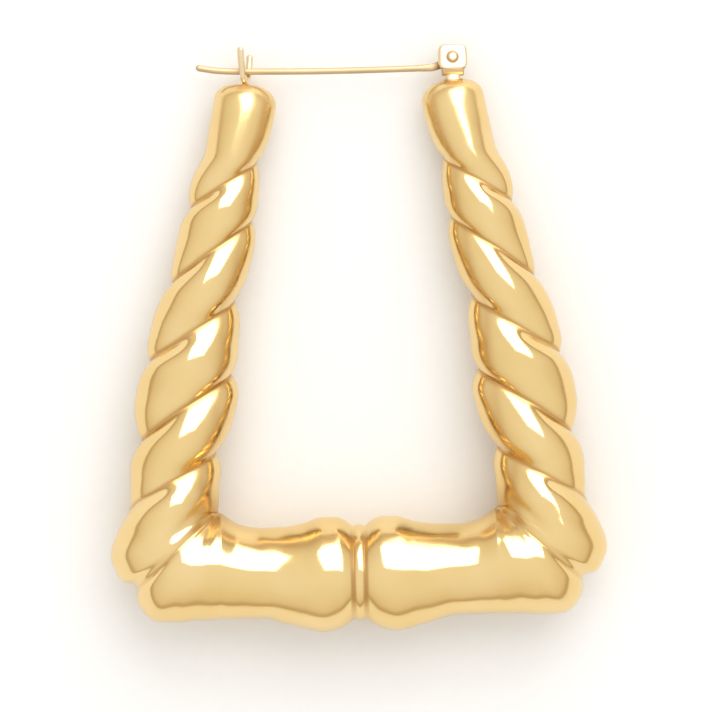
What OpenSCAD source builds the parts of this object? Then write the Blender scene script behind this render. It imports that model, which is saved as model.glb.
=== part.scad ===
// Bamboo hoop earring: a trapezoid tube hoop with twisted legs, a hinged ear pin and a forked catch.
// The hoop is drawn flat in the XY plane, with X = 0 on its mid axis and Y = 0 on the centre line of
// the bottom bar, and is then laid down on the surface that it rests on.

/* [Hoop outline] */
// Height of the legs' domed tops above the bar's centre line
leg_top = 54.05; // [50:0.05:58]
// Distance from the mid axis to the centre of a domed top
top_out = 11.15; // [10:0.05:13]
// Lean of the legs away from the mid axis, in degrees
leg_lean = 11.6; // [10:0.1:13]
// Distance from the mid axis to the hoop's inner corner
corner_out = 15.05; // [14:0.05:16]
// Height of the inner corner above the bar's centre line
corner_up = 7; // [6.5:0.05:7.5]
// Thickness of the tube front to back, as a share of its width
roundness = 0.92; // [0.8:0.01:1]
// Length of the rounded dome on top of each leg
dome_len = 2.3; // [1.5:0.1:3]

/* [Catch fork] */
// Distance from the mid axis to the fork and to the hinge
fitting_out = 11.5; // [11:0.05:12]
// Height of the ear pin's axis above the bar's centre line
pin_up = 55.2; // [55:0.05:56]
// Height of the fork's tips above the bar's centre line
fork_top = 58; // [57:0.1:59]
// Thickness of the fork's plate
fork_plate = 0.55; // [0.4:0.05:0.6]
// Radius of the rounded seat that the pin lies in
fork_seat_r = 0.6; // [0.55:0.01:0.7]
// Width of each prong
fork_prong = 0.6; // [0.5:0.05:0.8]
// Distance from the pin's axis to the middle of a prong's tip
fork_spread = 1.4; // [1.2:0.05:1.6]
// Turn of the fork about its stem, in degrees
fork_turn = 20; // [0:1:24]

/* [Hinge bracket] */
// Width of a cheek
cheek_w = 3.2; // [2.8:0.1:3.4]
// Height of a cheek
cheek_h = 2.8; // [2.6:0.1:3]
// Thickness of a cheek
cheek_plate = 0.5; // [0.4:0.05:0.6]
// Rounding of a cheek's corners
cheek_round = 0.7; // [0.4:0.05:0.8]
// Clear gap between the two cheeks
cheek_gap = 0.9; // [0.85:0.05:1]
// Width of the neck below the cheeks
neck_w = 2.4; // [2:0.1:2.6]
// Width of the foot that is soldered to the leg
foot_w = 1.8; // [1.5:0.1:2]
// Height of the pivot above the pin's axis
pivot_rise = 1.3; // [1.25:0.05:1.35]
// Radius of the rivet that the ear pin swings on
rivet_r = 0.45; // [0.4:0.01:0.5]
// Radius of the rivet's head on each cheek
rivet_head_r = 0.58; // [0.5:0.01:0.7]

/* [Ear pin] */
// Diameter of the wire
pin_d = 0.7; // [0.65:0.01:0.72]
// Length of the straight wire past the fork
pin_past = 1; // [0.5:0.1:2]
// Radius of the gentle bend at the pin's free end
tip_bend_r = 16; // [12:1:30]
// Turn of that bend, in degrees
tip_bend = 14; // [4:1:16]
// Radius of the flattened eye
eye_r = 1; // [0.9:0.05:1.1]
// Thickness of the flattened eye
eye_plate = 0.6; // [0.5:0.05:0.65]
// Play between the eye's hole and the rivet, on the radius
pivot_play = 0.05; // [0.02:0.01:0.1]

/* [Hidden] */

// Points in a ring, the widest spacing of the rings, and the rings and roundness of a dome
SIDES = 28;
RING_STEP = 0.86;
DOME_RINGS = 5;
DOME_POWER = 2.3;
// Distance of the corner's near side from the point that its sections turn about
INNER_REACH = 0.16;
FINE = 48;
// The wire's bent tip and the core of its flattened end are this much thinner than the wire, and lap into it
WIRE_STEP = 0.01;
WIRE_LAP = 0.1;
// Length of the wire's flattened end, where it starts to rise to the pivot and how much wider it is there
ARM_LEN = 3.4;
ARM_RISE = 1.9;
ARM_SWELL = 0.1;
// Rise of a rivet head over its cheek, and how much narrower the head is at its top
HEAD_RISE = 0.3;
HEAD_TAPER = 0.16;
// Thickness of the web that joins the cheeks, and its gap below the wire
WEB_PLATE = 0.45;
WEB_GAP = 0.1;
// Depth that the fittings are sunk into the domed tops, and the lap of the foot into the web
SINK = 1;
FOOT_LAP = 0.1;

// Sections of a leg: distance down from the top of the dome, bow away from the straight line, radius
LEG = [
    [0, 0, 3.4],
    [2.1, -0.15, 3.43],
    [4.8, -0.12, 3.37],
    [7.7, 0.07, 3.15],
    [11.4, 0.35, 3.8],
    [15.3, 0.28, 4.24],
    [19.6, 0.33, 4.3],
    [23.5, 0.62, 4.5],
    [27.8, 0.73, 5],
    [31.7, 0.54, 5.65],
    [35.8, 0.36, 5.55],
    [39.8, 0.13, 5.1],
    [43.7, 0, 5],
];
// Sections round the corner: turn of the section in degrees, reach of its far side from the inner corner.
// The short reach at 39 degrees is the mitred seam.
CORNER = [
    [-9, 10.55],
    [8, 11.65],
    [24, 13.3],
    [33, 13.4],
    [39, 12.6],
    [45, 13.5],
    [55, 14.1],
    [66, 13.1],
    [78, 12.1],
    [90, 11.7],
];
// Sections of the bar: distance from the mid axis, heights of its upper and lower edge
BAR = [
    [13, 5.6, -4.75],
    [10.7, 5.2, -4.8],
    [8.6, 5.25, -5.3],
    [6.2, 5.6, -5.95],
    [4, 6.25, -6.4],
    [2.6, 6.25, -6.15],
    [1.5, 5.85, -5.7],
    [0.6, 5.2, -5.05],
    [0, 5.4, -5.25],
];
// The two valleys twist down each leg, half a turn apart: distance along the hoop, half turns made,
// depth of the leading and of the following valley as a share of the radius
VALLEY = [
    [0, -0.2, 0, 0],
    [6.6, -0.1, 0, 0],
    [8, 0, 0.18, 0],
    [11, 0.45, 0.26, 0],
    [14.7, 1, 0.26, 0.2],
    [19.6, 1.6, 0.26, 0.26],
    [24.8, 2.15, 0.26, 0.26],
    [31.9, 3, 0.26, 0.26],
    [40.7, 4, 0.26, 0.26],
    [47.6, 4.95, 0.16, 0.22],
    [50, 5.2, 0, 0.1],
    [52, 5.4, 0, 0],
    [80, 5.4, 0, 0],
];

// Section rows as centre out, centre up, turn and radius
leg_sections = [
    for (i = [0:len(LEG) - 1]) let (
        before = LEG[max(i - 1, 0)],
        after = LEG[min(i + 1, len(LEG) - 1)],
        bend = (after[1] - before[1]) / (after[0] - before[0]),
    ) [
        top_out + LEG[i][0] * tan(leg_lean) + LEG[i][1],
        leg_top - LEG[i][0],
        -atan(tan(leg_lean) + bend),
        LEG[i][2],
    ]
];
corner_sections = [
    for (row = CORNER) let (middle = (row[1] + INNER_REACH) / 2) [
        corner_out + middle * cos(row[0]),
        corner_up - middle * sin(row[0]),
        row[0],
        (row[1] - INNER_REACH) / 2,
    ]
];
bar_sections = [for (row = BAR) [row[0], (row[1] + row[2]) / 2, 90, (row[1] - row[2]) / 2]];
sections = concat(leg_sections, corner_sections, bar_sections);

// Each section gets its distance along the hoop as its first column
function stretch(i) = norm([sections[i][0] - sections[i - 1][0], sections[i][1] - sections[i - 1][1]]);
along = [for (i = 0, s = 0; i < len(sections); i = i + 1, s = s + (i < len(sections) ? stretch(i) : 0)) s];
TUBE = [for (i = [0:len(sections) - 1]) concat([along[i]], sections[i])];

// Smooth curve through a table's rows, read at distance s in the span that starts at row i
function slope(t, i) = let (a = t[max(i - 1, 0)], b = t[min(i + 1, len(t) - 1)]) (b - a) / (b[0] - a[0]);
function smooth(t, i, s) = let (h = t[i + 1][0] - t[i][0], u = (s - t[i][0]) / h)
    (2 * pow(u, 3) - 3 * pow(u, 2) + 1) * t[i] + (pow(u, 3) - 2 * pow(u, 2) + u) * h * slope(t, i)
    + (3 * pow(u, 2) - 2 * pow(u, 3)) * t[i + 1] + (pow(u, 3) - pow(u, 2)) * h * slope(t, i + 1);
function span(t, s) = max([0, for (i = [0:len(t) - 2]) if (t[i][0] <= s) i]);
function read_row(t, s) = smooth(t, span(t, s), s);

// Distances along the hoop at which it gets a ring
dome_stations = [for (i = [1:DOME_RINGS - 1]) dome_len * (1 - cos(90 * i / DOME_RINGS))];
tube_stations = [
    for (i = [0:len(TUBE) - 2]) let (
        from = TUBE[i][0],
        length = TUBE[i + 1][0] - from,
        count = ceil(length / RING_STEP),
    ) for (k = [0:count - 1]) if (from + length * k / count >= dome_len) from + length * k / count
];
half_stations = concat(dome_stations, [dome_len], tube_stations);

// One ring of the right half: a round section with two valleys, shrinking at the dome
function dome_share(s) = s < dome_len ? pow(1 - pow(1 - s / dome_len, DOME_POWER), 1 / DOME_POWER) : 1;
function lobe(angle, lead, follow) = 1 - (1 - abs(sin(angle))) * (cos(angle) > 0 ? lead : follow);
function ring(s) = let (
    tube = read_row(TUBE, s),
    valley = read_row(VALLEY, s),
    radius = tube[4] * dome_share(s),
) [
    for (j = [0:SIDES - 1]) let (
        angle = 360 * j / SIDES,
        reach = radius * lobe(angle, valley[2], valley[3]),
        inward = reach * cos(angle + 180 * valley[1]),
    ) [
        tube[1] - inward * cos(tube[3]),
        tube[2] + inward * sin(tube[3]),
        roundness * reach * sin(angle + 180 * valley[1]),
    ]
];
half_rings = [for (s = half_stations) ring(s)];
middle_ring = ring(TUBE[len(TUBE) - 1][0]);
hoop_rings = concat(
    [for (r = half_rings) [for (p = r) [-p[0], p[1], p[2]]]],
    [middle_ring],
    [for (i = [len(half_rings) - 1:-1:0]) half_rings[i]]
);
hoop_points = [for (r = hoop_rings) each r];

// The hoop lies on the lowest points of its bar and legs
rest_tilt = 3.37;
floor_up = -min([for (p = hoop_points) p[2] * cos(rest_tilt) - p[1] * sin(rest_tilt)]);
low_edge = min([for (p = hoop_points) p[1] * cos(rest_tilt) + p[2] * sin(rest_tilt)]);
high_edge = fork_top * cos(rest_tilt) + fork_spread * cos(fork_turn) * sin(rest_tilt);
origin_up = (low_edge + high_edge) / 2;

pivot_up = pin_up + pivot_rise;
cheek_low = pivot_up - cheek_h / 2;
web_top = pin_up - pin_d / 2 - WEB_GAP;
web_low = web_top - WEB_PLATE;
bracket_z = cheek_gap + 2 * cheek_plate;
solder_up = leg_top - SINK;

// Lays the hoop down on its surface, with the origin in the middle of its footprint
module laid_down() {
    translate([0, -origin_up, floor_up]) rotate([-rest_tilt, 0, 0]) children();
}

// Two triangles between neighbouring rings, cut along the twist, which runs the other way on the left leg
function patch(i, j) = let (
    k = (j + 1) % SIDES,
    near = i * SIDES,
    far = near + SIDES,
) i < len(half_rings)
    ? [[near + j, far + j, near + k], [near + k, far + j, far + k]]
    : [[near + j, far + j, far + k], [near + j, far + k, near + k]];

module tube_hoop() {
    last = len(hoop_rings) - 1;
    polyhedron(
        points = hoop_points,
        faces = concat(
            [for (i = [0:last - 1], j = [0:SIDES - 1]) each patch(i, j)],
            [for (j = [1:SIDES - 2]) [0, j, j + 1]],
            [for (j = [1:SIDES - 2]) [last * SIDES, last * SIDES + j + 1, last * SIDES + j]]
        )
    );
}

// A straight bar of the fork, with round ends
module prong(from, to, width) {
    reach = to - from;
    translate(from) circle(d = width, $fn = FINE);
    translate(to) circle(d = width, $fn = FINE);
    translate(from) rotate(atan2(reach[1], reach[0])) translate([0, -width / 2]) square([norm(reach), width]);
}

module catch_fork() {
    prong_foot = fork_seat_r + fork_prong / 2;
    seat_out = fork_seat_r + fork_prong;
    stem_top = pin_up - prong_foot;
    translate([-fitting_out, 0, 0]) rotate([0, 90 - fork_turn, 0])
        linear_extrude(height = fork_plate, center = true) {
            difference() {
                translate([0, pin_up]) circle(r = seat_out, $fn = FINE);
                translate([0, pin_up]) circle(r = fork_seat_r, $fn = FINE);
                translate([-2 * seat_out, pin_up]) square([4 * seat_out, 2 * seat_out]);
            }
            for (side = [-1, 1])
                prong([side * prong_foot, pin_up], [side * fork_spread, fork_top - fork_prong / 2], fork_prong);
            translate([-fork_prong / 2, solder_up]) square([fork_prong, stem_top - solder_up]);
        }
}

module cheek_outline() {
    for (x = [-1, 1], y = [0, 1])
        translate([x * (cheek_w / 2 - cheek_round), cheek_low + cheek_round + y * (cheek_h - 2 * cheek_round)])
            circle(r = cheek_round, $fn = FINE);
    translate([-cheek_w / 2, cheek_low + cheek_round]) square([cheek_w, cheek_h - 2 * cheek_round]);
    translate([cheek_round - cheek_w / 2, cheek_low]) square([cheek_w - 2 * cheek_round, cheek_h]);
    translate([-neck_w / 2, web_low]) square([neck_w, cheek_low + cheek_round - web_low]);
}

module hinge_bracket() {
    translate([fitting_out, 0, 0]) {
        for (side = [0, 1]) mirror([0, 0, side]) {
            translate([0, 0, cheek_gap / 2]) linear_extrude(height = cheek_plate) cheek_outline();
            translate([0, pivot_up, bracket_z / 2])
                cylinder(r1 = rivet_head_r, r2 = rivet_head_r - HEAD_TAPER, h = HEAD_RISE, $fn = FINE);
        }
        translate([0, pivot_up, 0]) cylinder(r = rivet_r, h = bracket_z, center = true, $fn = FINE);
        translate([-neck_w / 2, web_low, -bracket_z / 2]) cube([neck_w, web_top - web_low, bracket_z]);
        translate([-foot_w / 2, solder_up, -foot_w / 2]) cube([foot_w, web_low + FOOT_LAP - solder_up, foot_w]);
    }
}

module hoop_frame() {
    color("gold") laid_down() {
        tube_hoop();
        catch_fork();
        hinge_bracket();
    }
}

// The free end of the wire: a gentle bend and a round tip. It starts a little inside the straight wire.
module bent_tip() {
    start = asin(WIRE_LAP / tip_bend_r);
    translate([-fitting_out - pin_past, pin_up + tip_bend_r, 0]) {
        rotate([0, 0, -90 - tip_bend])
            rotate_extrude(angle = tip_bend + start, $fn = FINE)
                translate([tip_bend_r, 0]) circle(d = pin_d - WIRE_STEP, $fn = FINE);
        rotate([0, 0, -90 - tip_bend]) translate([tip_bend_r, 0, 0]) sphere(d = pin_d, $fn = FINE);
    }
}

// Straight wire along X
module wire(from, to, width) {
    translate([from, pin_up, 0]) rotate([0, 90, 0]) cylinder(d = width, h = to - from, $fn = FINE);
}

// The flattened end of the wire, which rises to the pivot
module pin_arm() {
    linear_extrude(height = eye_plate, center = true) polygon([
        [fitting_out - ARM_LEN, pin_up - pin_d / 2],
        [fitting_out, pin_up - pin_d / 2],
        [fitting_out, pivot_up],
        [fitting_out - eye_r, pivot_up],
        [fitting_out - ARM_RISE, pin_up + pin_d / 2 + ARM_SWELL],
        [fitting_out - ARM_LEN, pin_up + pin_d / 2],
    ]);
}

module ear_pin() {
    arm_start = fitting_out - ARM_LEN;
    color("gold") laid_down() {
        difference() {
            union() {
                translate([fitting_out, pivot_up, 0]) cylinder(r = eye_r, h = eye_plate, center = true, $fn = FINE);
                pin_arm();
                wire(-fitting_out - pin_past, arm_start, pin_d);
                wire(arm_start - WIRE_LAP, fitting_out - ARM_RISE, pin_d - WIRE_STEP);
            }
            translate([fitting_out, pivot_up, 0])
                cylinder(r = rivet_r + pivot_play, h = 2 * eye_plate, center = true, $fn = FINE);
        }
        bent_tip();
    }
}

hoop_frame();
ear_pin();
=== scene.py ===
import math

import bmesh
import bpy
import numpy as np
from mathutils import Matrix, Vector


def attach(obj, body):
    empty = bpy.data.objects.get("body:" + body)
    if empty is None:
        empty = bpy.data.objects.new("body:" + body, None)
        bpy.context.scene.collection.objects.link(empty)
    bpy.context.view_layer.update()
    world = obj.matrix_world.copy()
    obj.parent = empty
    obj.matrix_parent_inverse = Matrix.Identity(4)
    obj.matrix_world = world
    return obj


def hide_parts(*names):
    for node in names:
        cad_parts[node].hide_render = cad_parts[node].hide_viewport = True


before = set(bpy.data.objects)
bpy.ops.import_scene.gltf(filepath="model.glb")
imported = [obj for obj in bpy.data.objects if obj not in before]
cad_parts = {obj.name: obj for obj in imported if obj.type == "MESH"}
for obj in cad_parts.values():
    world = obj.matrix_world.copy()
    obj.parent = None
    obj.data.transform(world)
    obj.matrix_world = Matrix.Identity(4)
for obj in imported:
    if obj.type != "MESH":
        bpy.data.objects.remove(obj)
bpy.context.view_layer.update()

# The earring is drawn upright in millimetres, with X = 0 on its mid axis, Y = 0 on the bar's centre line
# and Z towards the viewer. It is then laid down on the floor with this tilt. ORIGIN_UP is how far up the
# drawing the row's origin lies, and FLOOR_UP is how far above the floor the drawing's origin lies.
REST_TILT, ORIGIN_UP, FLOOR_UP = math.radians(3.37), 25.8041, 6.46915

# Leg: height of its top, how far out its middle line is there, and its lean in degrees
LEG_TOP, TOP_OUT, LEG_LEAN = 54.05, 11.15, 11.6
# Distance down from the top, bow away from the straight line, half width
LEG = [
    (0, 0, 3.4), (2.1, -0.15, 3.43), (4.8, -0.12, 3.37), (7.7, 0.07, 3.15), (11.4, 0.35, 3.8),
    (15.3, 0.28, 4.24), (19.6, 0.33, 4.3), (23.5, 0.62, 4.5), (27.8, 0.73, 5), (31.7, 0.54, 5.65),
    (35.8, 0.36, 5.55), (39.8, 0.13, 5.1), (43.7, 0, 5),
]
# The domed top: its length in the outline and in the thickness, and how square it is
DOME_LEN, DOME_RISE, DOME_POWER = 2.3, 3.2, 2.3

# Corner: the point that its sections turn about, and how far from that point they begin
CORNER_OUT, CORNER_UP, INNER_REACH = 15.05, 7.0, 0.16
# Turn of the section in degrees, reach of its outer edge from that point
CORNER = [
    (-9, 10.55), (8, 11.65), (24, 13.3), (33, 13.4), (39, 12.6), (45, 13.5), (55, 14.1), (66, 13.1),
    (78, 12.1), (90, 11.7),
]
# The row of CORNER that goes through the notch in the outer edge, where the fold ends
NOTCH_ROW = 4

# Bar: distance from the mid axis, heights of its upper and lower edge
BAR = [
    (13, 5.6, -4.75), (10.7, 5.2, -4.8), (8.6, 5.25, -5.3), (6.2, 5.6, -5.95), (4, 6.25, -6.4),
    (2.6, 6.25, -6.15), (1.5, 5.85, -5.7), (0.6, 5.2, -5.05), (0, 4.8, -4.65),
]
# The low ring round the middle of the bar: half width, half thickness and the radius of its rounding
BEAD_WIDE, BEAD_THICK, BEAD_ROUND = 5.3, 5.03, 1

# Thickness of the front: distance along the hoop, half thickness
THICK = [
    (0, 2.7), (6, 3.2), (12, 3.5), (20, 4), (30, 4.7), (40, 4.9), (48, 5.3), (53, 5.7), (57, 5.6),
    (58.4, 5.32), (60.4, 4.9), (61.5, 4.8), (65, 4.8), (70, 5.6), (72, 5.5), (73.5, 4.85), (74.2, 4.4),
]
# Thickness of the underside, which the hoop lies on, as a share of the width
UNDER_SHARE = 0.915
# The section's power, which is 2 for an ellipse and less for a pointed oval, and how soft its crests are
SECTION_POWER, CREST_SOFT = 1.6, 0.15

# Valleys: distance along the hoop, half turns, depth of the leading and of the following valley
VALLEY = [
    (0, -0.2, 0, 0), (6.6, -0.1, 0, 0), (8, 0, 0.2, 0), (11, 0.45, 0.3, 0), (14.7, 1, 0.3, 0.25),
    (19.6, 1.6, 0.3, 0.3), (24.8, 2.15, 0.3, 0.3), (31.9, 3, 0.3, 0.3), (40.7, 4, 0.3, 0.3),
    (47.6, 4.95, 0.2, 0.17), (50, 5.2, 0, 0.1), (52, 5.4, 0, 0), (80, 5.4, 0, 0),
]
# How far the flutes' ridges widen and shift round the section, and how unevenly they wind
FLUTE_WIDEN, FLUTE_SHIFT, TWIST_WAVE = 0.35, -0.15, 0.03
# The powers of the leading and of the following valley, how soft their floors are, and how much
# shallower they are at the edges
LEAD_POWER, FOLLOW_POWER, VALLEY_SOFT, EDGE_CALM = 1.3, 0.8, 0.1, 0.25
# How far along the hoop from the notch the valleys keep off the corner's inner side
CORNER_CALM = 5.5

# The fold across each corner: its inner end and its direction in degrees below the X axis
FOLD_OUT, FOLD_UP, FOLD_DOWN = 15.2, 7.2, 42
# Its depth, how far it spreads on the bar's and on the leg's side, and how soft its floor is
FOLD_DEPTH, FOLD_BAR_SIDE, FOLD_LEG_SIDE, FOLD_SOFT = 0.75, 0.95, 1.4, 0.1
# The share of the section over which it sets in, and the share of its depth that the edges have
FOLD_ONSET, FOLD_EDGE = 0.15, 0.4
# The narrow ridge beside it on the leg's side: distance from the fold, half width, height and length
RIDGE_UP, RIDGE_HALF, RIDGE_RISE, RIDGE_LEN = 0.7, 0.35, 0.36, 4
# The dent beyond the ridge: distance from the fold, half width, and depth as a share of the ridge's height
DENT_UP, DENT_HALF, DENT_SHARE = 2.2 * RIDGE_UP, 0.5, 0.6

# Round the corner's inner end the flanks of leg and bar run on to the fold: how far along the hoop, how
# closely they keep to the inner edge, how steeply and with which power of the width they rise
FAN_REACH, FAN_NEAR, FAN_RISE, FAN_POWER = 7.5, 6, 1.75, 0.625
# The directions that the two flanks face
LEG_FLANK, BAR_FLANK = math.radians(-9), math.radians(95)

# Fittings: how far out the hinge and the fork are, height of the wire and of the hinge's pivot
FITTING_OUT, FORK_OUT, PIN_UP = 11.5, 11.3, 55.2
PIVOT_UP = PIN_UP + 1.3
# The posts that carry them: height of their lowest and highest section
POST_LOW, POST_HIGH = 53.1, 54.55

# Painted shade, from 0 to 1, and a little tarnish in the ring's grooves. The painted shade fills a valley of
# this depth, over this half width as a sine
VALLEY_FULL, VALLEY_HALF = 0.2, 0.16
# Painted shade in the fold: how dark it is, and half width
FOLD_DARK, FOLD_HALF = 0.8, 0.2
# Painted dark reflection along the inner flank: how dark it is, place as a cosine round the section, and
# half width
FLANK_DARK, FLANK_AT, FLANK_HALF = 0.4, 0.7, 0.12
# Painted shade and tarnish in the groove on each side of the ring: distance from the middle, half width, and
# the sines where it begins and is full
GROOVE_OUT, GROOVE_HALF, GROOVE_FROM, GROOVE_FULL = 0.68, 0.3, 0.3, 0.8
# Painted shade round the corner's inner end: how dark it is, and its reach
NOOK_DARK, NOOK_REACH = 0.7, 1.9
# Painted shade on the leg's top below a post: how dark it is, height, half width and half height
SOLDER_DARK, SOLDER_UP, SOLDER_WIDE, SOLDER_HIGH = 1.3, 53.5, 0.9, 0.25
# Painted shade in a post's solder joint: how dark it is, height and half height
JOINT_DARK, JOINT_UP, JOINT_HIGH = 1.2, 53.8, 0.25


def hump(x, half, power=2):
    """1 at x = 0, falling smoothly on both sides to about a third at half and soon to nothing."""
    return np.exp(-((x / half) ** power))


def ease(x):
    """A smooth step from 0 at x = 0 to 1 at x = 1."""
    x = np.clip(x, 0, 1)
    return x * x * (3 - 2 * x)


def tube_rows():
    """Distance along the hoop, inner edge out, inner edge up, turn and half width of each section."""
    lean = math.tan(math.radians(LEG_LEAN))
    rows = []
    for i, (down, bow, half_width) in enumerate(LEG):
        after, before = LEG[min(i + 1, len(LEG) - 1)], LEG[max(i - 1, 0)]
        bend = (after[1] - before[1]) / (after[0] - before[0])
        turn = -math.degrees(math.atan(lean + bend))
        rows.append((TOP_OUT + down * lean + bow, LEG_TOP - down, turn, half_width))
    for turn, reach in CORNER:
        middle, q = (reach + INNER_REACH) / 2, math.radians(turn)
        out, up = CORNER_OUT + middle * math.cos(q), CORNER_UP - middle * math.sin(q)
        rows.append((out, up, turn, (reach - INNER_REACH) / 2))
    for out, upper, lower in BAR:
        rows.append((out, (upper + lower) / 2, 90, (upper - lower) / 2))
    rows = np.array(rows, float)
    along = np.concatenate([[0], np.cumsum(np.hypot(*np.diff(rows[:, :2], axis=0).T))])
    q = np.radians(rows[:, 2])
    rows[:, 0] -= rows[:, 3] * np.cos(q)
    rows[:, 1] += rows[:, 3] * np.sin(q)
    return np.column_stack([along, rows])


TUBE = tube_rows()
# Distances along the hoop to the corner's notch and to the middle of the bar
SEAM, HALF = TUBE[len(LEG) + NOTCH_ROW, 0], TUBE[-1, 0]
# The rows where the sections begin and end to turn about the corner's inner end
BENDS = (len(LEG), len(LEG) + len(CORNER) - 1)


def read_rows(table, s, bends=()):
    """A smooth curve through the table's rows, read at the distances s.

    With bends it never overshoots a row, and at the rows named there the place and turn may bend
    sharply.
    """
    table = np.array(table, float)
    last = len(table) - 1
    rise = np.diff(table, axis=0)
    rise = rise / rise[:, :1]
    ahead, behind = np.clip(np.arange(last + 1) + 1, 0, last), np.clip(np.arange(last + 1) - 1, 0, last)
    slope = (table[ahead] - table[behind]) / (table[ahead, :1] - table[behind, :1])
    if bends:
        before, after = rise[:-1], rise[1:]
        same_way = before * after > 0
        slope[1:-1] = np.where(same_way, 2 * before * after / np.where(same_way, before + after, 1), 0)
    start, end = slope.copy(), slope.copy()
    for k in bends:
        start[k, 1:4], end[k, 1:4] = rise[k, 1:4], rise[k - 1, 1:4]
    i = np.clip(np.searchsorted(table[:, 0], s, side="right") - 1, 0, last - 1)
    h = (table[i + 1, 0] - table[i, 0])[:, None]
    u = (s - table[i, 0])[:, None] / h
    return (
        (2 * u**3 - 3 * u**2 + 1) * table[i] + (u**3 - 2 * u**2 + u) * h * start[i]
        + (3 * u**2 - 2 * u**3) * table[i + 1] + (u**3 - u**2) * h * end[i + 1]
    )


def dome_share(s, length):
    """Share of the full section that a rounded end has at distance s."""
    near_end = 1 - np.clip(s, 0, length) / length
    return (1 - near_end**DOME_POWER) ** (1 / DOME_POWER)


def oval(cb, sb):
    """Reach of the plain section in the direction with that cosine and sine, 1 along its axes."""
    m, e = SECTION_POWER, CREST_SOFT
    full = ((1 + e * e) ** (m / 2) + e**m) ** (1 / m)
    return full * ((cb * cb + e * e) ** (m / 2) + (sb * sb + e * e) ** (m / 2)) ** (-1 / m)


def fold(x, y, outer, raised):
    """How far the fold across the corner is pressed in, in mm, and how near each point is to it.

    outer runs from 0 at the section's inner edge to 1 at its outer edge, and raised is 1 at its crest.
    """
    q = math.radians(FOLD_DOWN)
    down = (x - FOLD_OUT) * math.cos(q) - (y - FOLD_UP) * math.sin(q)
    above = (x - FOLD_OUT) * math.sin(q) + (y - FOLD_UP) * math.cos(q)
    far = np.sqrt(above**2 + FOLD_SOFT**2)
    pressed = FOLD_DEPTH * np.exp(-far / np.where(above < 0, FOLD_BAR_SIDE, FOLD_LEG_SIDE))
    ridge = hump(above - RIDGE_UP, RIDGE_HALF) - DENT_SHARE * hump(above - DENT_UP, DENT_HALF)
    ridge = RIDGE_RISE * ridge * raised**2 / (1 + (down / RIDGE_LEN) ** 4)
    share = ease(outer / FOLD_ONSET) * (FOLD_EDGE + (1 - FOLD_EDGE) * raised**2)
    return (pressed - ridge) * share, hump(above, FOLD_HALF) * share


def half_hoop(s, around):
    """Points of the right half, at the distances s along it and the angles around it from the valleys.

    The second result is how dark the painted shade is at each point, with a little tarnish in the ring's
    grooves, 0 to 1.
    """
    tube, valley, thick = read_rows(TUBE, s, BENDS), read_rows(VALLEY, s), read_rows(THICK, s)
    turns = valley[:, 1:2] + TWIST_WAVE * np.sin(2 * np.pi * valley[:, 1:2])
    a = around[None, :]
    b = a + np.pi * turns
    cb, sb = np.cos(b), np.sin(b)
    outer = (1 - cb) / 2

    # The flutes between the valleys
    calm = 1 - hump(s - SEAM, CORNER_CALM, 4)[:, None] * (1 - outer) ** 2
    phase = a + FLUTE_WIDEN * np.sin(2 * a) / 2 + FLUTE_SHIFT * np.sin(a) ** 2
    lead = np.cos(phase) > 0
    depth = np.where(lead, valley[:, 2:3], valley[:, 3:4]) * calm * (1 - EDGE_CALM * cb**2)
    ridge = np.sqrt(np.sin(phase) ** 2 + VALLEY_SOFT**2) / math.sqrt(1 + VALLEY_SOFT**2)
    relief = 1 - (1 - ridge ** np.where(lead, LEAD_POWER, FOLLOW_POWER)) * depth
    reach = relief * oval(cb, sb)

    # Width and thickness, with the dome, the ring and the fanned corner
    bead_fall = (HALF - s) ** 2 / (2 * BEAD_ROUND)
    half_width = np.maximum(tube[:, 4] * dome_share(s, DOME_LEN), BEAD_WIDE - bead_fall)[:, None]
    half_thick = np.maximum(thick[:, 1] * dome_share(s, DOME_RISE), BEAD_THICK - bead_fall)[:, None]
    half_thick = np.where(sb > 0, half_thick, UNDER_SHARE * half_width)
    q, middle = np.radians(tube[:, 3:4]), tube[:, 4:5]
    fanned = hump(s - SEAM, FAN_REACH, 4)[:, None] * (1 - outer) ** FAN_NEAR
    mitre = np.maximum(np.cos(q - LEG_FLANK), np.cos(q - BAR_FLANK)) ** FAN_POWER
    half_thick = half_thick + fanned * (FAN_RISE * mitre * half_width**FAN_POWER - half_thick)

    def placed():
        """How far out and up in the drawing the points are at their present reach."""
        inward = middle - half_width * reach * cb
        return tube[:, 1:2] + inward * np.cos(q), tube[:, 2:3] - inward * np.sin(q)

    # near_fold also says where the fold's painted shade lies
    pressed, near_fold = fold(*placed(), outer, np.abs(sb))
    reach = reach * (1 - pressed / half_width)
    out, up = placed()

    # Painted shade in the flutes' valleys
    valleys = hump(np.sin(phase), VALLEY_HALF) * depth / VALLEY_FULL
    # Painted dark reflection along the inner flank
    painted_flank_reflection = FLANK_DARK * hump(cb - FLANK_AT, FLANK_HALF) * (sb > 0)
    # Painted shade and tarnish in the grooves beside the ring
    front = np.clip((sb - GROOVE_FROM) / (GROOVE_FULL - GROOVE_FROM), 0, 1)
    groove_shade_and_tarnish = hump(HALF - s - GROOVE_OUT, GROOVE_HALF, 4)[:, None] * front
    # Painted shade round the corner's inner end
    painted_nook_shade = NOOK_DARK * hump(np.hypot(out - CORNER_OUT, up - CORNER_UP), NOOK_REACH)
    # Painted shade on the leg's top below each post
    solder = SOLDER_DARK * hump(out - FITTING_OUT, SOLDER_WIDE) * hump(up - SOLDER_UP, SOLDER_HIGH)
    # All the painted shade, with the tarnish in the grooves, summed for the valley attribute
    dark = valleys + FOLD_DARK * near_fold + painted_flank_reflection + groove_shade_and_tarnish + painted_nook_shade + solder
    return np.stack([out, up, half_thick * reach * sb], -1), np.clip(dark, 0, 1)


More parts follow.
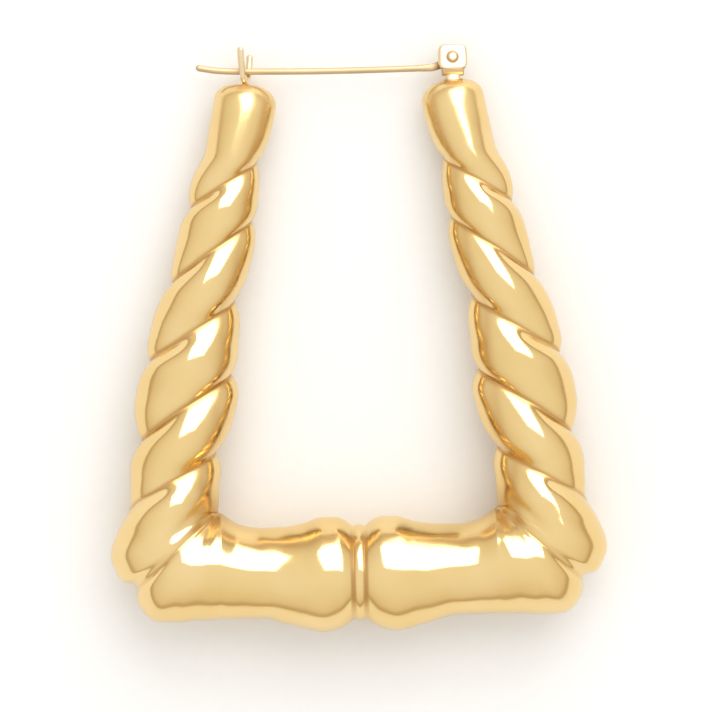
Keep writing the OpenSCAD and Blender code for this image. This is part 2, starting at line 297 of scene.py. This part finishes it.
def laid(points):
    """From the drawing in millimetres to the row frame in metres."""
    p = np.asarray(points, float)
    x, y, z = p[..., 0], p[..., 1], p[..., 2]
    c, s = math.cos(REST_TILT), math.sin(REST_TILT)
    return np.stack([x, y * c + z * s - ORIGIN_UP, FLOOR_UP - y * s + z * c], -1) / 1000


def unlaid(points):
    """From the row frame in metres back to the drawing in millimetres."""
    p = np.asarray(points, float) * 1000
    x, y, z = p[..., 0], p[..., 1] + ORIGIN_UP, p[..., 2] - FLOOR_UP
    c, s = math.cos(REST_TILT), math.sin(REST_TILT)
    return np.stack([x, y * c - z * s, y * s + z * c], -1)


def make(name, shape):
    """A smooth-shaded mesh object from the drawing's points and faces."""
    points, faces = shape
    mesh = bpy.data.meshes.new(name)
    mesh.from_pydata([tuple(v) for v in laid(points)], [], [tuple(int(k) for k in f) for f in faces])
    bm = bmesh.new()
    bm.from_mesh(mesh)
    bmesh.ops.recalc_face_normals(bm, faces=bm.faces)
    bm.to_mesh(mesh)
    bm.free()
    mesh.polygons.foreach_set("use_smooth", [True] * len(mesh.polygons))
    obj = bpy.data.objects.new(name, mesh)
    bpy.context.scene.collection.objects.link(obj)
    return obj


def unite(base, *others):
    """Boolean union into base, applied."""
    for other in others:
        join = base.modifiers.new("join", "BOOLEAN")
        join.operation, join.object, join.solver = "UNION", other, "EXACT"
        bpy.context.view_layer.update()
        joined = base.evaluated_get(bpy.context.evaluated_depsgraph_get())
        mesh = bpy.data.meshes.new_from_object(joined)
        base.modifiers.clear()
        old, base.data = base.data, mesh
        mesh.name = base.name
        bpy.data.meshes.remove(old)
        bpy.data.objects.remove(other)
    base.data.polygons.foreach_set("use_smooth", [True] * len(base.data.polygons))
    return base


def mark_shade_and_tarnish(obj, dark):
    """Stores how dark the painted shade and tarnish are at each vertex, as the valley attribute, for the
    gold to read.
    """
    mark = obj.data.attributes.new("valley", "FLOAT", "POINT")
    mark.data.foreach_set("value", np.clip(dark, 0, 1).astype(np.float32))


def paint_fitting_shade(obj, share):
    """Marks a fitting with the painted shade that share gives for places in the drawing."""
    points = np.empty(3 * len(obj.data.vertices))
    obj.data.vertices.foreach_get("co", points)
    x, y, _ = unlaid(points.reshape(-1, 3)).T
    mark_shade_and_tarnish(obj, share(x, y))


def grid_faces(rows, cols, wrap=False):
    """Four-sided faces between closed rings of points. With wrap the last ring joins the first."""
    i, j = np.meshgrid(np.arange(rows if wrap else rows - 1), np.arange(cols), indexing="ij")
    k, m = (j + 1) % cols, (i + 1) % rows
    return np.stack([i * cols + j, i * cols + k, m * cols + k, m * cols + j], -1).reshape(-1, 4)


def closed_tube(rings):
    """Points and faces of a tube through closed rings, with a point at each end."""
    rows, cols = rings.shape[:2]
    points = np.concatenate([rings.reshape(-1, 3), rings[0].mean(0)[None], rings[-1].mean(0)[None]])
    faces = [tuple(f) for f in grid_faces(rows, cols)]
    n = rows * cols
    for j in range(cols):
        k = (j + 1) % cols
        faces.append((n, k, j))
        faces.append((n + 1, (rows - 1) * cols + j, (rows - 1) * cols + k))
    return points, faces


def section(cols, power):
    """Points round a section of half width 1. The power is 2 for a circle and more for a square."""
    a = 2 * np.pi * np.arange(cols) / cols
    ca, sa = np.cos(a), np.sin(a)
    return np.sign(ca) * np.abs(ca) ** (2 / power), np.sign(sa) * np.abs(sa) ** (2 / power)


def sweep(path, across, widths, heights, power, cols):
    """Rings round a plane path.

    A section is width wide along across, which is square to the path, and height high in its plane.
    """
    path, across = np.asarray(path, float), np.asarray(across, float)
    tangent = np.gradient(path, axis=0)
    tangent /= np.linalg.norm(tangent, axis=1)[:, None]
    top = np.cross(across, tangent)
    ca, sa = section(cols, power)
    w, h = widths[:, None, None] / 2, heights[:, None, None] / 2
    return path[:, None] + w * ca[None, :, None] * across + h * sa[None, :, None] * top[:, None]


def round_ends(path, widths, heights):
    """Adds shrinking sections past both ends of a path, so that its ends are round."""
    # The last section stops short of the tip, so that it still has a width
    steps, blunt = 7, 0.35
    q = np.pi / 2 * np.arange(1, steps + 1) / (steps + blunt)
    for _ in ("last end", "first end"):
        ahead = path[-1] - path[-2]
        ahead = ahead / np.linalg.norm(ahead)
        r = min(widths[-1], heights[-1]) / 2
        shrink = 2 * r * (1 - np.cos(q))
        path = np.concatenate([path, path[-1] + np.outer(r * np.sin(q), ahead)])[::-1]
        widths = np.concatenate([widths, widths[-1] - shrink])[::-1]
        heights = np.concatenate([heights, heights[-1] - shrink])[::-1]
    return path, widths, heights


def through(points, per):
    """A smooth curve through points, with per steps from each to the next."""
    p = np.asarray(points, float)
    p = np.concatenate([[2 * p[0] - p[1]], p, [2 * p[-1] - p[-2]]])
    curve = []
    for a, b, c, d in zip(p, p[1:], p[2:], p[3:]):
        for t in np.arange(per) / per:
            straight = 2 * b + (c - a) * t
            curve.append(
                0.5 * (straight + (2 * a - 5 * b + 4 * c - d) * t**2 + (3 * b - a - 3 * c + d) * t**3)
            )
    curve.append(p[-2])
    return np.array(curve)


def dents(p):
    """The slight unevenness of thin pressed sheet, about -1 to 1."""
    # How fast each wave runs along X, Y and Z, in radians a millimetre, and where it begins
    waves = [
        (1.7, 0.6, 1.1, 0.3), (-0.9, 1.5, 0.7, 1.9), (0.5, -1.2, 1.9, 4.1), (2.3, 1.1, -0.8, 2.6),
        (-1.4, -2.1, 1.3, 5.2),
    ]
    usual_height = 2.6
    x, y, z = p[..., 0], p[..., 1], p[..., 2]
    return sum(np.sin(a * x + b * y + c * z + shift) for a, b, c, shift in waves) / usual_height


def hoop_tube():
    """The whole tube, from one domed top over the bar to the other."""
    # Points round a section, closer in the valleys
    sides, crowding = 104, 0.22
    around = 2 * np.pi * np.arange(sides) / sides
    around = around - crowding * np.sin(2 * around)
    # Sections in the dome, and the distance between those beyond it
    dome_rows, step = 14, 0.23
    stations = [DOME_LEN * (1 - np.cos(np.pi / 2 * np.arange(0.5, dome_rows) / dome_rows))]
    # Where each stretch ends and how far apart its sections are, which is closer at the corner and the ring
    start = DOME_LEN
    for end, apart in [
        (SEAM - 6, step), (SEAM + 7, step / 2), (HALF - 1.2, step), (HALF - 0.72, step / 4),
        (HALF - 0.48, step / 15), (HALF - 0.01, step / 4),
    ]:
        stations.append(np.arange(start, end, apart))
        start = end
    just_before = 1e-6
    right, right_dark = half_hoop(np.concatenate(stations), around)
    centre, centre_dark = half_hoop(np.array([HALF - just_before]), around)
    rings = np.concatenate([right * [-1, 1, 1], centre * [0, 1, 1], right[::-1]])
    # The dents move each point by this share of its distance from the tube's middle
    dent_share = 0.0022
    rings = rings + (rings - rings.mean(1, keepdims=True)) * dent_share * dents(rings)[..., None]
    hoop = make("hoop_tube", closed_tube(rings))
    end_points_dark = [0, 0]
    # Painted shade and tarnish at every point, kept as the valley attribute
    dark = [right_dark.ravel(), centre_dark.ravel(), right_dark[::-1].ravel(), end_points_dark]
    mark_shade_and_tarnish(hoop, np.concatenate(dark))
    return hoop


def soldered_post(name, out, across, width, height, fillet, power, cols):
    """A short bar on the leg's top, which carries a fitting.

    fillet says how much wider the solder makes its foot, up to which height, and over which distance
    above that it fades.
    """
    more, full_up, fade = fillet
    rows = 16
    path = np.array([[out, up, 0] for up in np.linspace(POST_LOW, POST_HIGH, rows)])
    solder = more * np.exp(-np.maximum(path[:, 1] - full_up, 0) / fade)
    return make(name, closed_tube(sweep(path, across, width + solder, height + solder, power, cols)))


def joint_dark(y):
    """Painted shade in the solder joint of a post."""
    return JOINT_DARK * hump(y - JOINT_UP, JOINT_HIGH)


def catch_fork():
    """The catch: a bent bar that the wire lies in, on a short stem. It is turned about the stem."""
    turn = math.radians(20)
    spread = np.array([math.sin(turn), 0, -math.cos(turn)])
    across = np.cross(spread, [0, 1, 0])
    # The round seat under the wire: radius, how far its middle is below the wire's, and its points
    seat_radius, seat_slack, seat_points = 0.9, 0.02, 13
    seat_up = PIN_UP - seat_slack
    seat = [
        (seat_radius * math.cos(q), seat_up - seat_radius * math.sin(q))
        for q in np.linspace(0, math.pi, seat_points)
    ]
    # Place along the spread, height
    line = [(1.34, 57.0), (1.22, 56.4), (1.02, 55.8)] + seat + [(-1.02, 55.8), (-1.2, 56.6), (-1.36, 57.7)]
    path = through([np.array([-FORK_OUT, up, 0]) + aside * spread for aside, up in line], per=6)
    # How thick the bar is under the wire, and how much thicker it gets over a millimetre, from which height
    seat_thick, thicker, thicker_from = 0.58, 0.14, 55
    prong = seat_thick + thicker * np.clip(path[:, 1] - thicker_from, 0, 1)
    path, widths, heights = round_ends(path, prong, prong)
    fork = make("catch_fork", closed_tube(sweep(path, across, widths, heights, power=2.5, cols=28)))
    fillet = (0.5, 53.75, 0.16)
    stem = soldered_post("fork_stem", -FORK_OUT, across, 0.55, 0.62, fillet, power=2.4, cols=28)
    fork = unite(fork, stem)
    # Painted shade in the stem's solder joint
    paint_fitting_shade(fork, lambda x, y: joint_dark(y))
    return fork


def cheek(side, out, lean):
    """A plate with rounded edges and a rivet head, facing side along Z and leaning back by lean."""
    # Half width, half height and thickness, how square the outline is, and its middle below the pivot
    half_wide, half_high, plate, square, below_pivot = 1.6, 1.4, 0.44, 4.6, 0.02
    # The rounded rim, as shares of the way from the middle: where it begins, its width and its power
    rim_from, rim_wide, rim_power = 0.82, 0.18, 2.2
    # How far the sides and the ends bend back, and the height and radius of the rivet's head
    side_bend, end_bend, rivet_rise, rivet_radius = 0.16, 0.05, 0.4, 0.56
    cols, steps = 120, 30
    a = 2 * np.pi * np.arange(cols) / cols
    edge = (np.abs(np.cos(a)) ** square + np.abs(np.sin(a)) ** square) ** (-1 / square)
    r = np.sin(np.pi / 2 * np.arange(1, steps + 1) / steps)
    rim = np.sqrt(1 - np.clip((r - rim_from) / rim_wide, 0, 1) ** rim_power)
    outer_face = [(k, 1) for k in range(steps)]
    inner_face = [(k, -1) for k in range(steps - 2, -1, -1)]
    rings = []
    for k, face in outer_face + inner_face:
        x, y = r[k] * half_wide * edge * np.cos(a), r[k] * half_high * edge * np.sin(a)
        bend = side_bend * np.abs(x / half_wide) ** 5 + end_bend * np.abs(y / half_high) ** 4
        rivet = rivet_rise * hump(np.hypot(x, y), rivet_radius, 6) * (face > 0)
        z = side * (out - bend + rivet + face * plate / 2 * rim[k] - lean * y)
        rings.append(np.stack([FITTING_OUT + x, PIVOT_UP - below_pivot + y, z], -1))
    return closed_tube(np.array(rings))


def bracket_dark(x, y):
    """Painted shade round the rivet's head, in the solder joint, along the web's bend and at its lower
    corners.
    """
    head_radius, head_half = 0.6, 0.12
    bend_dark, bend_up, bend_half = 0.7, 54.95, 0.2
    corner_dark, corner_out, corner_top = 0.8, 1.1, 55.3
    # Painted shade as a ring round the rivet's head, in the bend and at the lower corners
    painted_head_ring = hump(np.hypot(x - FITTING_OUT, y - PIVOT_UP) - head_radius, head_half)
    bend = bend_dark * hump(y - bend_up, bend_half)
    painted_corner_shade = corner_dark * (np.abs(x - FITTING_OUT) > corner_out) * (y < corner_top)
    return painted_head_ring + joint_dark(y) + bend + painted_corner_shade


def hinge_bracket():
    """The hinge: a folded plate with a rivet head on each cheek, on a soldered foot."""
    bracket = make("hinge_bracket", cheek(side=1, out=0.8, lean=0.2))
    back_cheek = make("back_cheek", cheek(side=-1, out=0.7, lean=0.04))
    # The web that joins the cheeks: height, depth
    line = [
        (56.0, 0.86), (55.4, 0.92), (54.95, 0.84), (54.66, 0.56), (54.58, 0.2), (54.58, -0.2),
        (54.66, -0.56), (54.95, -0.74), (55.4, -0.74), (56.0, -0.7),
    ]
    web_width, web_plate = 2.4, 0.36
    path = through([(FITTING_OUT, up, z) for up, z in line], per=6)
    widths, heights = np.full(len(path), web_width), np.full(len(path), web_plate)
    web = make("bracket_web", closed_tube(sweep(path, [1, 0, 0], widths, heights, power=5, cols=48)))
    fillet = (0.7, 53.8, 0.2)
    foot = soldered_post("bracket_foot", FITTING_OUT, [1, 0, 0], 1.75, 1.5, fillet, power=2.8, cols=40)
    bracket = unite(bracket, back_cheek, web, foot)
    # Painted shade round the rivet head, in the joint, along the bend and at the corners
    paint_fitting_shade(bracket, bracket_dark)
    return bracket


def wire_eye():
    """The flat eye that turns on the rivet."""
    radius, half_band, half_thick, rows, cols = 0.76, 0.24, 0.25, 64, 28
    q = 2 * np.pi * np.arange(rows) / rows
    ca, sa = section(cols, power=3)
    reach = radius + half_band * ca
    x, y = FITTING_OUT + np.outer(np.cos(q), reach), PIVOT_UP + np.outer(np.sin(q), reach)
    z = np.outer(np.ones(rows), half_thick * sa)
    points = np.stack([x, y, z], -1).reshape(-1, 3)
    return make("wire_eye", (points, grid_faces(rows, cols, wrap=True)))


def ear_wire():
    """The ear wire: bent tip, straight wire, flattened arm and eye."""
    # Distance from the mid axis, height
    line = [
        (-16.42, 55.9), (-15.6, 55.74), (-14.7, 55.6), (-13.6, 55.5), (-12.3, 55.43), (-10, 55.38),
        (-6, 55.3), (-2, 55.26), (2, 55.27), (5, 55.3), (7.6, 55.34), (8.6, 55.37), (9.4, 55.44),
        (10.1, 55.68), (10.6, 56.0),
    ]
    # The wire's thickness, and how the arm gets flatter: in depth, in height, from where and over how far
    gauge, arm_thinner, arm_higher, arm_from, arm_grows = 0.7, 0.2, 0.14, 7.6, 1.6
    path = through([(x, y, 0) for x, y in line], per=10)
    flat = ease((path[:, 0] - arm_from) / arm_grows)
    path, widths, heights = round_ends(path, gauge - arm_thinner * flat, gauge + arm_higher * flat)
    wire = make("ear_wire", closed_tube(sweep(path, [0, 0, 1], widths, heights, power=2, cols=36)))
    wire = unite(wire, wire_eye())
    # Painted shade between the cheeks, where the wire runs behind them: from where, and over how far it gets
    # so
    dark_from, dark_grows = 9.2, 0.8
    paint_fitting_shade(wire, lambda x, y: (x - dark_from) / dark_grows)
    return wire


def noise(tree, vector, scale, detail):
    """A noise texture, as the output of its node."""
    node = tree.nodes.new("ShaderNodeTexNoise")
    node.inputs["Scale"].default_value, node.inputs["Detail"].default_value = scale, detail
    tree.links.new(vector, node.inputs["Vector"])
    return node.outputs["Fac"]


def colour_ramp(tree, value, stops):
    """A ramp through the stops, each a place from 0 to 1 and a colour, as the output of its node."""
    node = tree.nodes.new("ShaderNodeValToRGB")
    tree.links.new(value, node.inputs["Fac"])
    elements = node.color_ramp.elements
    while len(elements) > 1:
        elements.remove(elements[-1])
    for i, (at, colour) in enumerate(stops):
        stop = elements[0] if i == 0 else elements.new(at)
        stop.position, stop.color = at, (*colour, 1)
    return node.outputs["Color"]


def map_range(tree, value, source, target):
    """A value moved from the source's limits to the target's, as the output of its node."""
    node = tree.nodes.new("ShaderNodeMapRange")
    node.inputs["From Min"].default_value, node.inputs["From Max"].default_value = source
    node.inputs["To Min"].default_value, node.inputs["To Max"].default_value = target
    tree.links.new(value, node.inputs["Value"])
    return node.outputs["Result"]


# How much rougher the gold is towards the fittings, and between which places along Y, in metres, it gets so
DULL_TOP, DULL_HEIGHTS = 0.12, (0.016, 0.026)
# How much rougher it is in the valleys, and the colour of the painted shade and tarnish there as shares of
# its red, green and blue
DULL_VALLEY, SHADE_AND_TARNISH_SHARES = 0.22, (0.7, 0.58, 0.5)
# The noise's scale and detail for the drift of the colour and for the haze of the gloss
DRIFT, HAZE = (140, 3), (520, 5)
# The hairlines' scale along X, Y and Z, and their depth in metres
HAIR_SCALE, HAIR_DEPTH = (9000, 1400, 9000), 0.00001


def gold(name, light, rich, roughness, hairlines):
    """Gold with a slow colour drift, an uneven gloss, faint hairlines, and painted shade with a little
    tarnish where the valley attribute marks it.
    """
    mat = bpy.data.materials.new(name)
    mat.use_nodes = True
    tree = mat.node_tree
    nodes, links = tree.nodes, tree.links
    shader = nodes["Principled BSDF"]
    shader.inputs["Metallic"].default_value = 1
    place = nodes.new("ShaderNodeTexCoord").outputs["Object"]
    # The valley attribute holds the painted shade, with a little tarnish, and darkens the base colour
    valley = nodes.new("ShaderNodeAttribute")
    valley.attribute_name = "valley"

    dark = nodes.new("ShaderNodeMix")
    dark.data_type = "RGBA"
    dark.inputs["B"].default_value = (*(tone * share for tone, share in zip(rich, SHADE_AND_TARNISH_SHARES)), 1)
    links.new(valley.outputs["Fac"], dark.inputs["Factor"])
    links.new(colour_ramp(tree, noise(tree, place, *DRIFT), [(0.3, rich), (0.7, light)]), dark.inputs["A"])
    links.new(dark.outputs["Result"], shader.inputs["Base Color"])

    # The polishing wheel reaches the legs' tops by the fittings and the valleys less well
    height = nodes.new("ShaderNodeSeparateXYZ")
    links.new(place, height.inputs["Vector"])
    at_top = nodes.new("ShaderNodeMath")
    links.new(map_range(tree, noise(tree, place, *HAZE), (0, 1), roughness), at_top.inputs[0])
    links.new(map_range(tree, height.outputs["Y"], DULL_HEIGHTS, (0, DULL_TOP)), at_top.inputs[1])
    in_valleys = nodes.new("ShaderNodeMath")
    in_valleys.operation = "MULTIPLY_ADD"
    in_valleys.inputs[1].default_value = DULL_VALLEY
    links.new(valley.outputs["Fac"], in_valleys.inputs[0])
    links.new(at_top.outputs["Value"], in_valleys.inputs[2])
    links.new(in_valleys.outputs["Value"], shader.inputs["Roughness"])

    stretch = nodes.new("ShaderNodeMapping")
    stretch.inputs["Scale"].default_value = HAIR_SCALE
    links.new(place, stretch.inputs["Vector"])
    bump = nodes.new("ShaderNodeBump")
    bump.inputs["Strength"].default_value, bump.inputs["Distance"].default_value = hairlines, HAIR_DEPTH
    links.new(noise(tree, stretch.outputs["Vector"], scale=1, detail=2), bump.inputs["Height"])
    links.new(bump.outputs["Normal"], shader.inputs["Normal"])
    return mat


def white_sheet():
    """Plain white paper with a faint grain."""
    mat = bpy.data.materials.new("white_sheet")
    mat.use_nodes = True
    tree = mat.node_tree
    shader = tree.nodes["Principled BSDF"]
    shader.inputs["Roughness"].default_value = 0.6
    shader.inputs["Specular IOR Level"].default_value = 0.2
    place = tree.nodes.new("ShaderNodeTexCoord").outputs["Object"]
    grain = noise(tree, place, scale=900, detail=4)
    tone = colour_ramp(tree, grain, [(0, (0.88, 0.88, 0.885)), (1, (0.91, 0.91, 0.91))])
    tree.links.new(tone, shader.inputs["Base Color"])
    return mat


def dress(obj, mat):
    """Gives an object one material in place of all it had."""
    obj.data.materials.clear()
    obj.data.materials.append(mat)


def studio():
    """Pale walls all round, with a dimmer belt just above the horizon."""
    world = bpy.data.worlds.new("studio")
    bpy.context.scene.world = world
    world.use_nodes = True
    tree = world.node_tree
    split = tree.nodes.new("ShaderNodeSeparateXYZ")
    tree.links.new(tree.nodes.new("ShaderNodeTexCoord").outputs["Generated"], split.inputs["Vector"])
    # Height from the horizon to straight above, colour
    walls = colour_ramp(tree, split.outputs["Z"], [
        (0.0, (0.64, 0.55, 0.43)), (0.04, (0.56, 0.46, 0.33)), (0.11, (0.63, 0.53, 0.41)),
        (0.19, (0.78, 0.71, 0.61)), (0.36, (0.84, 0.79, 0.71)), (0.62, (0.90, 0.88, 0.84)),
        (1.0, (0.95, 0.94, 0.93)),
    ])
    sky = tree.nodes["Background"]
    sky.inputs["Strength"].default_value = 1.1
    tree.links.new(walls, sky.inputs["Color"])


# The point that window and camera aim at, and the drawing's directions as the hoop lies
TARGET = Vector(laid([0.15, 23.86, 0]))
RIGHT, UP, FACE = (Vector(laid(axis) - laid([0, 0, 0])).normalized() for axis in np.eye(3))
# The window: its direction in degrees off the hoop's face, its half angles, and its distance in metres
WINDOW_X, WINDOW_Y, WINDOW_HALF_X, WINDOW_HALF_Y, WINDOW_FAR = 8, 43, 27, 28, 0.65
# Its turn in its own plane, and then the swing of its right side towards the hoop, in degrees
WINDOW_TURN, WINDOW_SWING = 6, 30
# The camera: distance and width of the view in metres, turn about its line of sight, sensor's width in mm
CAMERA_FAR, VIEW_WIDE, ROLL, SENSOR = 0.45, 0.07832, math.radians(1.295), 36


def stand(name, data, place, side, top, back):
    """An object for a light or camera at a place, with its three axes."""
    obj = bpy.data.objects.new(name, data)
    obj.matrix_world = Matrix.Translation(place) @ Matrix((side, top, back)).transposed().to_4x4()
    bpy.context.scene.collection.objects.link(obj)
    return obj


def window(name, radiance, on_paper):
    """The window as a rectangular light, which the paper sees or doesn't see."""
    slope_x, slope_y = math.tan(math.radians(WINDOW_X)), math.tan(math.radians(WINDOW_Y))
    aim = (RIGHT * slope_x + UP * slope_y + FACE).normalized()
    light = bpy.data.lights.new(name, "AREA")
    light.shape = "RECTANGLE"
    light.size = 2 * WINDOW_FAR * math.tan(math.radians(WINDOW_HALF_X))
    light.size_y = 2 * WINDOW_FAR * math.tan(math.radians(WINDOW_HALF_Y))
    light.energy = radiance * math.pi * light.size * light.size_y
    place = TARGET + aim * WINDOW_FAR
    side = Matrix.Rotation(math.radians(WINDOW_TURN), 3, aim) @ UP.cross(aim).normalized()
    top = aim.cross(side)
    swing = Matrix.Rotation(math.radians(WINDOW_SWING), 3, top)
    obj = stand(name, light, place, swing @ side, top, swing @ aim)
    obj.visible_diffuse = on_paper


def camera():
    """The camera, square to the hoop's face and turned so that the hoop leans to the left."""
    data = bpy.data.cameras.new("camera")
    data.lens, data.sensor_width = SENSOR * CAMERA_FAR / VIEW_WIDE, SENSOR
    data.clip_start, data.clip_end = 0.01, 10
    side = (RIGHT * math.cos(ROLL) - UP * math.sin(ROLL)).normalized()
    top = (RIGHT * math.sin(ROLL) + UP * math.cos(ROLL)).normalized()
    bpy.context.scene.camera = stand("camera", data, TARGET + FACE * CAMERA_FAR, side, top, FACE)


hoop, fork, bracket, wire = hoop_tube(), catch_fork(), hinge_bracket(), ear_wire()
for piece, body in ((hoop, "hoop"), (fork, "hoop"), (bracket, "hoop"), (wire, "pin")):
    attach(piece, body)
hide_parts("hoop_frame")
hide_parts("ear_pin")

# Each gold: its light and its rich tone, its least and greatest roughness, the strength of its hairlines
polished = gold("polished_gold", (0.86, 0.645, 0.32), (0.82, 0.6, 0.26), (0.07, 0.13), hairlines=0.15)
plain = gold("fitting_gold", (0.85, 0.70, 0.46), (0.79, 0.64, 0.40), (0.12, 0.2), hairlines=0.2)
worn = gold("worn_gold", (0.64, 0.49, 0.31), (0.56, 0.42, 0.25), (0.36, 0.48), hairlines=0.3)
for piece, finish in ((hoop, polished), (fork, plain), (bracket, plain), (wire, worn)):
    dress(piece, finish)
for name in ("hoop_frame", "ear_pin"):
    dress(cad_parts[name], plain)

# The floor, this wide in metres
FLOOR_SIZE = 3
bpy.ops.mesh.primitive_plane_add(size=FLOOR_SIZE, location=(0, 0, 0))
floor = bpy.context.object
floor.name = "floor"
dress(floor, white_sheet())

studio()
# Both show in the polished metal at full brightness. The paper sees the second one alone, as behind
# diffusers, because it would be burnt out otherwise.
window("window", radiance=2.8, on_paper=False)
window("window_on_paper", radiance=2.35, on_paper=True)
camera()
bpy.context.scene.view_settings.view_transform = "Standard"
